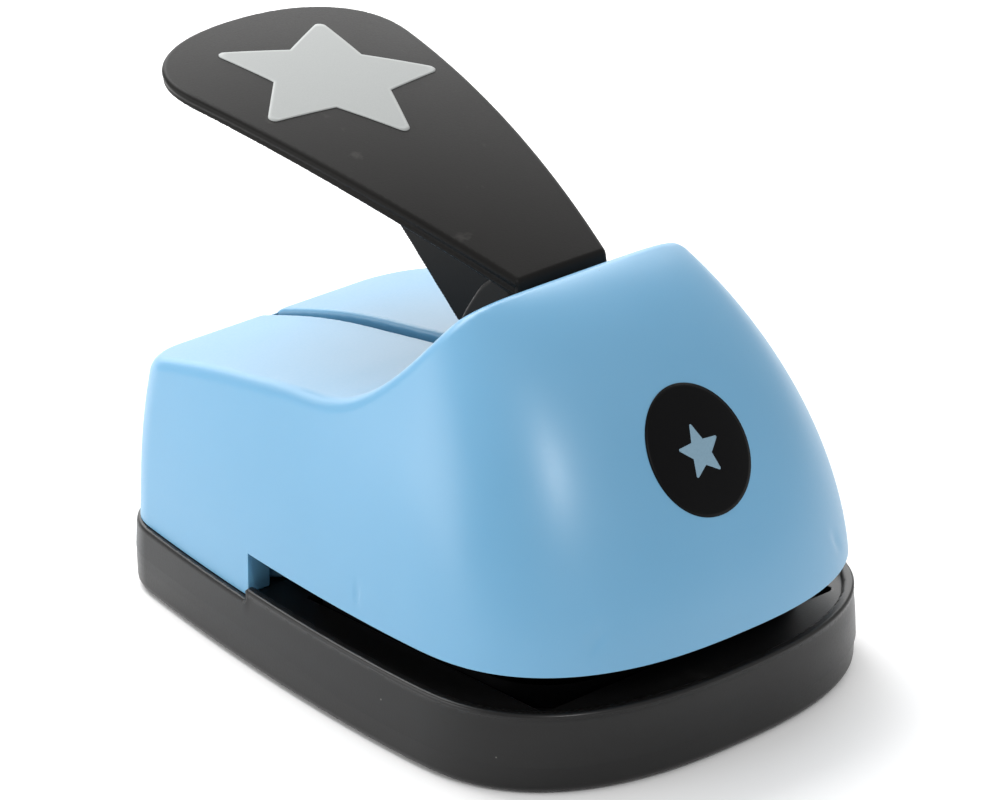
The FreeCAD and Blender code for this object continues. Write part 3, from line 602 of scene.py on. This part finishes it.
def film(name, outline, rings, place, thick, body, material, nodes=()):
    """Thin raised layer inside an outline: place(points) gives surface points and normals."""
    outline = np.array(outline)
    centre = outline.mean(0)
    layers = [centre + (outline - centre) * (k + 1) / rings for k in range(rings)]
    flat = np.concatenate([centre[None]] + layers)
    surface, normals = place(flat)
    n = len(outline)
    top = surface + normals * thick
    foot = surface[-n:] - normals[-n:] * FILM_FOOT
    points = np.concatenate([top, foot])
    faces = [(0, 1 + i, 1 + (i + 1) % n) for i in range(n)]
    for k in range(rings):
        a = 1 + k * n
        for i in range(n):
            j = (i + 1) % n
            faces.append((a + i, a + n + i, a + n + j, a + j))
    obj = new_object(name, points, faces)
    rim = obj.data.attributes.new("rim", "FLOAT", "POINT")
    shares = np.concatenate([[0.0]] + [np.full(n, (k + 1) / rings) for k in range(rings)] + [np.ones(n)])
    rim.data.foreach_set("value", shares.astype(np.float32))
    obj.data.shade_smooth()
    obj.data.materials.append(material)
    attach(obj, body)
    if nodes:
        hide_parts(*nodes)
    return obj


OUTLINE_STEP = 0.8             # about the span between points of a print's outline


def star_outline(radius, inner_radius, tip_r, centre, steps=6):
    """Points around a five-point star with rounded tips, one tip towards -v."""
    points = []
    for k in range(10):
        r = inner_radius if k % 2 else radius
        angle = -math.pi / 2 + k * math.pi / 5
        here = np.array([r * math.cos(angle), r * math.sin(angle)])
        if k % 2:
            points.append(here)
            continue
        ends = []
        for step in (-1, 1):
            other = -math.pi / 2 + (k + step) * math.pi / 5
            side = inner_radius * np.array([math.cos(other), math.sin(other)]) - here
            ends.append(side / np.linalg.norm(side))
        half = math.acos(float(np.clip(ends[0] @ ends[1], -1, 1))) / 2
        middle = here + (ends[0] + ends[1]) / np.linalg.norm(ends[0] + ends[1]) * tip_r / math.sin(half)
        start = here + ends[0] * tip_r / math.tan(half) - middle
        first = math.atan2(start[1], start[0])
        sweep = math.pi - 2 * half
        for i in range(steps + 1):
            a = first + sweep * i / steps
            points.append(middle + tip_r * np.array([math.cos(a), math.sin(a)]))
    dense = []
    for p, q in zip(points, points[1:] + points[:1]):
        parts = max(1, int(np.linalg.norm(q - p) / OUTLINE_STEP))
        dense += [p + (q - p) * i / parts for i in range(parts)]
    return np.array(dense) + np.array(centre)


def on_paddle(flat, h=0.05):
    """Points and normals of the paddle's top at the given (x, y) points."""
    x, y = flat.T
    z = paddle_surface(x, y)
    gx = (paddle_surface(x + h, y) - paddle_surface(x - h, y)) / (2 * h)
    gy = (paddle_surface(x, y + h) - paddle_surface(x, y - h)) / (2 * h)
    normals = np.stack([-gx, -gy, np.ones_like(x)], 1)
    normals /= np.linalg.norm(normals, axis=1)[:, None]
    return np.stack([x, y, z], 1), normals


def on_hood(flat, halvings=40):
    """Points and normals of the hood's front straight behind the given (x, z) points."""
    x, z = flat.T
    near = np.full(len(x), HOOD_FRONT - 1.0)
    far = np.full(len(x), -20.0)
    for _ in range(halvings):
        middle = 0.5 * (near + far)
        outside = hood_share(x, middle, z) > 0
        near = np.where(outside, middle, near)
        far = np.where(outside, far, middle)
    points = np.stack([x, far, z], 1)
    normals = slope(hood_share, points)
    normals /= np.linalg.norm(normals, axis=1)[:, None]
    return points, normals


# --- materials ------------------------------------------------------------------
def linear(red, green, blue):
    """sRGB from 0 to 255 as linear colour."""
    def one(c):
        c = c / 255.0
        return c / 12.92 if c <= 0.04045 else ((c + 0.055) / 1.055) ** 2.4
    return (one(red), one(green), one(blue), 1.0)


class Nodes:
    """A few short calls for building a material's nodes."""

    def __init__(self, name):
        self.material = bpy.data.materials.new(name)
        self.material.use_nodes = True
        self.tree = self.material.node_tree
        self.shader = self.tree.nodes["Principled BSDF"]
        self.place = self.add("ShaderNodeTexCoord").outputs["Object"]

    def add(self, kind, **settings):
        node = self.tree.nodes.new(kind)
        for key, value in settings.items():
            setattr(node, key, value)
        return node

    def link(self, source, target):
        self.tree.links.new(source, target)

    def noise(self, scale, detail=3.0, rough=0.5, stretch=None):
        node = self.add("ShaderNodeTexNoise")
        node.inputs["Scale"].default_value = scale
        node.inputs["Detail"].default_value = detail
        node.inputs["Roughness"].default_value = rough
        self.link(self.stretched(stretch), node.inputs["Vector"])
        return node.outputs["Fac"]

    def stretched(self, stretch):
        if stretch is None:
            return self.place
        mapping = self.add("ShaderNodeMapping")
        mapping.inputs["Scale"].default_value = stretch
        self.link(self.place, mapping.inputs["Vector"])
        return mapping.outputs["Vector"]

    def ramp(self, source, low, high, first, last):
        """Source between low and high, turned into first to last."""
        node = self.add("ShaderNodeMapRange")
        for key, value in zip(("From Min", "From Max", "To Min", "To Max"), (low, high, first, last)):
            node.inputs[key].default_value = value
        self.link(source, node.inputs["Value"])
        return node.outputs["Result"]

    def math(self, operation, a, b):
        node = self.add("ShaderNodeMath", operation=operation)
        for socket, value in zip(node.inputs, (a, b)):
            if isinstance(value, (int, float)):
                socket.default_value = value
            else:
                self.link(value, socket)
        return node.outputs["Value"]

    def mix(self, factor, a, b):
        node = self.add("ShaderNodeMix", data_type="RGBA")
        self.link(factor, node.inputs["Factor"])
        for key, value in (("A", a), ("B", b)):
            socket = next(s for s in node.inputs if s.name == key and s.type == "RGBA")
            if isinstance(value, tuple):
                socket.default_value = value
            else:
                self.link(value, socket)
        return next(s for s in node.outputs if s.type == "RGBA")

    def specks(self, scale, size, share, seed):
        """Sparse small dots: 1 inside a dot, 0 elsewhere."""
        mapping = self.add("ShaderNodeMapping")
        mapping.inputs["Location"].default_value = (seed, 0.37 * seed, 0.61 * seed)
        self.link(self.place, mapping.inputs["Vector"])
        cell = self.add("ShaderNodeTexVoronoi")
        cell.inputs["Scale"].default_value = scale
        self.link(mapping.outputs["Vector"], cell.inputs["Vector"])
        dot = self.ramp(cell.outputs["Distance"], size * 0.5, size, 1.0, 0.0)
        parts = self.add("ShaderNodeSeparateColor")
        self.link(cell.outputs["Color"], parts.inputs["Color"])
        chosen = self.math("LESS_THAN", parts.outputs["Red"], share)
        return self.math("MULTIPLY", dot, chosen)

    def bump(self, height, strength, distance, normal=None):
        node = self.add("ShaderNodeBump")
        node.inputs["Strength"].default_value = strength
        node.inputs["Distance"].default_value = distance
        self.link(height, node.inputs["Height"])
        if normal is not None:
            self.link(normal, node.inputs["Normal"])
        return node.outputs["Normal"]

    def finish(self, color, roughness, normal, **plain):
        self.link(color, self.shader.inputs["Base Color"])
        self.link(roughness, self.shader.inputs["Roughness"])
        self.link(normal, self.shader.inputs["Normal"])
        for key, value in plain.items():
            self.shader.inputs[key.replace("_", " ")].default_value = value
        return self.material


def blue_shell():
    """Satin light-blue ABS with a very fine moulded skin, faint cloudiness and a little dust."""
    n = Nodes("blue_shell")
    cloud = n.noise(38.0, 2.0)
    skin = n.noise(2600.0, 2.0)
    tint = n.mix(n.ramp(cloud, 0.3, 0.7, 0.0, 1.0), linear(96, 151, 185), linear(100, 154, 188))
    tint = n.mix(n.math("MULTIPLY", n.specks(420.0, 0.055, 0.05, 3.1), 0.6), tint, linear(70, 88, 104))
    rough = n.math("ADD", n.ramp(cloud, 0.2, 0.8, 0.33, 0.39), n.ramp(skin, 0.3, 0.7, -0.02, 0.02))
    normal = n.bump(skin, 0.16, 0.00002)
    normal = n.bump(n.noise(70.0, 2.0), 0.25, 0.00012, normal)
    return n.finish(tint, rough, normal, Subsurface_Weight=0.18, Subsurface_Radius=(0.4, 0.8, 1.0),
                    Subsurface_Scale=0.0016, Specular_IOR_Level=0.6, IOR=1.5)


def black_base():
    """Dark grey-black ABS with a fine spark-eroded grain, scuffs and dust."""
    n = Nodes("black_base")
    grain = n.noise(3200.0, 2.0)
    cloud = n.noise(60.0, 3.0)
    tint = n.mix(n.ramp(cloud, 0.3, 0.7, 0.0, 1.0), linear(15, 15, 15), linear(19, 18, 18))
    scuff = n.noise(240.0, 4.0, 0.7, (0.25, 0.25, 1.6))
    tint = n.mix(n.ramp(scuff, 0.70, 0.80, 0.0, 0.25), tint, linear(96, 95, 93))
    tint = n.mix(n.math("MULTIPLY", n.specks(330.0, 0.06, 0.07, 7.7), 0.5), tint, linear(150, 146, 140))
    rough = n.math("ADD", n.ramp(cloud, 0.2, 0.8, 0.30, 0.38), n.ramp(grain, 0.3, 0.7, -0.03, 0.03))
    return n.finish(tint, rough, n.bump(grain, 0.3, 0.00003), Specular_IOR_Level=0.32, IOR=1.5)


def black_lever():
    """Warm grey-black satin plastic with a fine grain, pale dust and faint rubbed patches."""
    n = Nodes("black_lever")
    grain = n.noise(3400.0, 2.0)
    cloud = n.noise(45.0, 3.0)
    tint = n.mix(n.ramp(cloud, 0.3, 0.7, 0.0, 1.0), linear(20, 19, 18), linear(24, 23, 22))
    tint = n.mix(n.math("MULTIPLY", n.specks(300.0, 0.06, 0.10, 1.9), 0.65), tint, linear(176, 172, 166))
    rubbed = n.noise(120.0, 4.0, 0.65)
    tint = n.mix(n.ramp(rubbed, 0.66, 0.80, 0.0, 0.22), tint, linear(104, 101, 98))
    rough = n.math("ADD", n.ramp(cloud, 0.2, 0.8, 0.38, 0.46), n.ramp(grain, 0.3, 0.7, -0.03, 0.03))
    return n.finish(tint, rough, n.bump(grain, 0.35, 0.00003), Specular_IOR_Level=0.10, IOR=1.5)


def star_ink():
    """Pale grey screen-printed ink: fine grain, tiny pinholes and a slightly lighter rim."""
    n = Nodes("star_print")
    grain = n.noise(5200.0, 3.0, 0.7)
    tint = n.mix(n.ramp(grain, 0.3, 0.7, 0.0, 1.0), linear(142, 145, 144), linear(149, 152, 151))
    rim = n.add("ShaderNodeAttribute", attribute_name="rim").outputs["Fac"]
    tint = n.mix(n.ramp(rim, 0.93, 0.985, 0.0, 0.8), tint, linear(163, 166, 165))
    tint = n.mix(n.math("MULTIPLY", n.specks(520.0, 0.07, 0.05, 5.3), 0.6), tint, linear(120, 122, 122))
    rough = n.ramp(grain, 0.2, 0.8, 0.5, 0.62)
    return n.finish(tint, rough, n.bump(grain, 0.4, 0.00003))


def badge_ink(name, first, second):
    """Screen-printed ink on the hood with faint speckle."""
    n = Nodes(name)
    grain = n.noise(4200.0, 3.0, 0.6)
    tint = n.mix(n.ramp(grain, 0.35, 0.75, 0.0, 1.0), first, second)
    tint = n.mix(n.math("MULTIPLY", n.specks(700.0, 0.07, 0.05, 2.2), 0.4), tint, linear(90, 92, 96))
    rough = n.ramp(grain, 0.2, 0.8, 0.34, 0.46)
    return n.finish(tint, rough, n.bump(grain, 0.3, 0.00002), Specular_IOR_Level=0.08)


def metal(name, tone, roughness, stretch):
    """Metal with directional machining marks and stained patches."""
    n = Nodes(name)
    marks = n.noise(900.0, 3.0, 0.6, stretch)
    patches = n.noise(130.0, 3.0)
    darker = tuple(0.7 * c for c in tone[:3]) + (1.0,)
    tint = n.mix(n.ramp(patches, 0.35, 0.75, 0.0, 1.0), tone, darker)
    rough = n.ramp(marks, 0.2, 0.8, roughness - 0.06, roughness + 0.08)
    return n.finish(tint, rough, n.bump(marks, 0.3, 0.00003), Metallic=1.0)


def nylon():
    """Milky nylon with a faint mottled skin."""
    n = Nodes("carrier_nylon")
    skin = n.noise(1500.0, 3.0)
    cloud = n.noise(90.0, 3.0)
    tint = n.mix(n.ramp(cloud, 0.3, 0.7, 0.0, 1.0), linear(206, 204, 196), linear(196, 193, 184))
    rough = n.ramp(skin, 0.2, 0.8, 0.42, 0.56)
    return n.finish(tint, rough, n.bump(skin, 0.3, 0.00004), Subsurface_Weight=0.1, Subsurface_Scale=0.001)


def floor_paint():
    """Plain pale studio floor."""
    n = Nodes("studio_floor")
    cloud = n.noise(2.0, 2.0)
    tint = n.mix(n.ramp(cloud, 0.3, 0.7, 0.0, 1.0), (0.93, 0.93, 0.93, 1.0), (0.95, 0.95, 0.95, 1.0))
    rough = n.ramp(cloud, 0.2, 0.8, 0.85, 0.95)
    return n.finish(tint, rough, n.bump(cloud, 0.05, 0.0001))


# --- making ---------------------------------------------------------------------
shell_blue = blue_shell()
base_black = black_base()
lever_black = black_lever()
bolt_steel = metal("zinc_steel", linear(176, 177, 174), 0.30, (1.0, 1.0, 6.0))
dark_steel = metal("blackened_steel", linear(22, 22, 23), 0.5, (1.0, 1.0, 1.0))
tool_steel = metal("tool_steel", linear(150, 150, 150), 0.26, (8.0, 1.0, 1.0))
spring_steel = metal("spring_steel", linear(168, 168, 166), 0.24, (1.0, 1.0, 1.0))
carrier_white = nylon()

# Materials of the pieces that stay as the CAD made them, by the start of the node's name.
CAD_FINISHES = (("die_plate", dark_steel), ("stripper_plate", dark_steel), ("slot_spacer", dark_steel),
                ("return_spring", spring_steel), ("shaft_clip", spring_steel), ("star_punch", tool_steel),
                ("wear_plate", tool_steel), ("pivot_shaft", tool_steel), ("guide_post", tool_steel),
                ("punch_carrier", carrier_white), ("pivot_cap", base_black))


def dress_cad_nodes():
    """Give every CAD node its material; screws and rivets are zinc-plated."""
    for name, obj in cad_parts.items():
        finish = next((paint for start, paint in CAD_FINISHES if name.startswith(start)), bolt_steel)
        for index in range(max(1, len(obj.data.materials))):
            if len(obj.material_slots) <= index:
                obj.data.materials.append(finish)
            obj.material_slots[index].material = finish


def make_mouldings():
    """The four large mouldings, each within its box and with its own cell size."""
    mould("tray_moulding", tray_field, (-37.4, -48.6, 3.53), (37.4, 52.4, 12.0), 0.5, "base",
          base_black, ["base_tray"], [(tray_skin, above_parting, lambda x, y, z: z < 7.0)])
    mould("cover_moulding", cover_field, (-37.4, -48.6, -0.43), (37.4, 52.4, 6.6), 0.5, "base",
          base_black, ["bottom_cover"], [(cover_skin, below_parting, lambda x, y, z: z < 7.0)])
    mould("housing_moulding", housing_field, (-36, -47.8, 9.6), (36, 51.6, 59.2), 0.61, "base",
          shell_blue, ["housing_shell"], HOUSING_CREASES)
    mould("lever_moulding", lever_field, (-23, -32.6, 33.2), (23, 56.4, 76.6), 0.34, "lever",
          lever_black, ["lever"])


def make_prints():
    """The paddle's star, and the oval badge with its small star, which look round from the front."""
    outline = star_outline(STAR_R * PRINT_SCALE, STAR_INNER_R * PRINT_SCALE, STAR_TIP_R, (0.0, PRINT_Y))
    film("star_print_film", outline, 24, on_paddle, 0.1, "lever", star_ink(),
         ["lever_star_print"])
    turns = np.arange(96) * math.tau / 96
    oval = [(BADGE_R * math.cos(a), BADGE_Z + BADGE_HIGH * math.sin(a)) for a in turns]
    film("badge_disc", oval, 16, on_hood, 0.08, "base",
         badge_ink("badge_print", linear(5, 5, 6), linear(8, 8, 9)), ["front_badge"])
    small = star_outline(BADGE_STAR_R, BADGE_STAR_INNER_R, BADGE_STAR_TIP_R, (0.0, 0.0))
    small = np.stack([small[:, 0], BADGE_Z - small[:, 1] * BADGE_HIGH / BADGE_R], 1)[::-1]
    film("badge_star", small, 6, on_hood, 0.12, "base",
         badge_ink("badge_star_print", linear(118, 146, 163), linear(124, 152, 169)))


dress_cad_nodes()
make_mouldings()
make_prints()


# --- studio, in metres ----------------------------------------------------------
FLOOR_HALF = 3.0
FLOOR_GAP = 0.0002             # just below the base, so that the two faces never share a plane
AIM = np.array((0.0, 0.0, 0.035))
AIR = 0.62                     # strength of the white surroundings


def make_floor():
    half = FLOOR_HALF / MM
    corners = [(-half, -half, 0), (half, -half, 0), (half, half, 0), (-half, half, 0)]
    floor = new_object("studio_ground", corners, [(0, 1, 2, 3)])
    floor.location.z = -FLOOR_GAP
    floor.data.materials.append(floor_paint())


def placed(axes, position):
    """Matrix whose first three columns are the given axes."""
    matrix = Matrix.Identity(4)
    for i in range(3):
        for j, axis in enumerate(axes):
            matrix[i][j] = float(axis[i])
        matrix[i][3] = float(position[i])
    return matrix


def softbox(name, position, size, power):
    """Rectangular area light aimed at the punch."""
    data = bpy.data.lights.new(name, "AREA")
    data.shape = "RECTANGLE"
    data.size, data.size_y = size
    data.energy = power
    lamp = bpy.data.objects.new(name, data)
    bpy.context.scene.collection.objects.link(lamp)
    aim = AIM - np.array(position, float)
    aim /= np.linalg.norm(aim)
    side = np.cross(aim, (0.0, 0.0, 1.0))
    side /= np.linalg.norm(side)
    lamp.matrix_world = placed((side, np.cross(side, aim), -aim), position)


def light_studio():
    """Soft light from above and behind, from both sides, and a narrow box for the hood's highlight."""
    softbox("light_above", (0.02, 0.62, 0.80), (0.7, 0.5), 7.5)
    softbox("light_back", (0.62, 0.80, 0.52), (1.3, 0.8), 8.0)
    softbox("light_left", (-0.95, 0.55, 0.34), (0.9, 0.6), 5.8)
    softbox("light_front", (-0.33, -0.86, 0.86), (0.10, 0.34), 4.2)
    world = bpy.data.worlds.new("studio_air")
    world.use_nodes = True
    background = world.node_tree.nodes["Background"]
    background.inputs["Color"].default_value = (1.0, 1.0, 1.0, 1.0)
    background.inputs["Strength"].default_value = AIR
    bpy.context.scene.world = world
    bpy.context.scene.view_settings.view_transform = "Standard"
    bpy.context.scene.view_settings.look = "None"


# --- camera ---------------------------------------------------------------------
YAW, PITCH, ROLL = math.radians(43.09), math.radians(23.63), math.radians(0.16)
CAMERA_PLACE = (-0.4553, -0.4865, 0.3264)
SENSOR_WIDTH, LENS = 36.0, 192.06


def set_camera():
    ahead = np.array((math.sin(YAW) * math.cos(PITCH), math.cos(YAW) * math.cos(PITCH), -math.sin(PITCH)))
    level = np.cross(ahead, (0.0, 0.0, 1.0))
    level /= np.linalg.norm(level)
    upright = np.cross(level, ahead)
    right = level * math.cos(ROLL) + upright * math.sin(ROLL)
    upward = upright * math.cos(ROLL) - level * math.sin(ROLL)
    data = bpy.data.cameras.new("photo_camera")
    data.sensor_width = SENSOR_WIDTH
    data.lens = LENS
    data.clip_start = 0.05
    data.clip_end = 20.0
    camera = bpy.data.objects.new("photo_camera", data)
    camera.matrix_world = placed((right, upward, -ahead), CAMERA_PLACE)
    bpy.context.scene.collection.objects.link(camera)
    bpy.context.scene.camera = camera


make_floor()
light_studio()
set_camera()
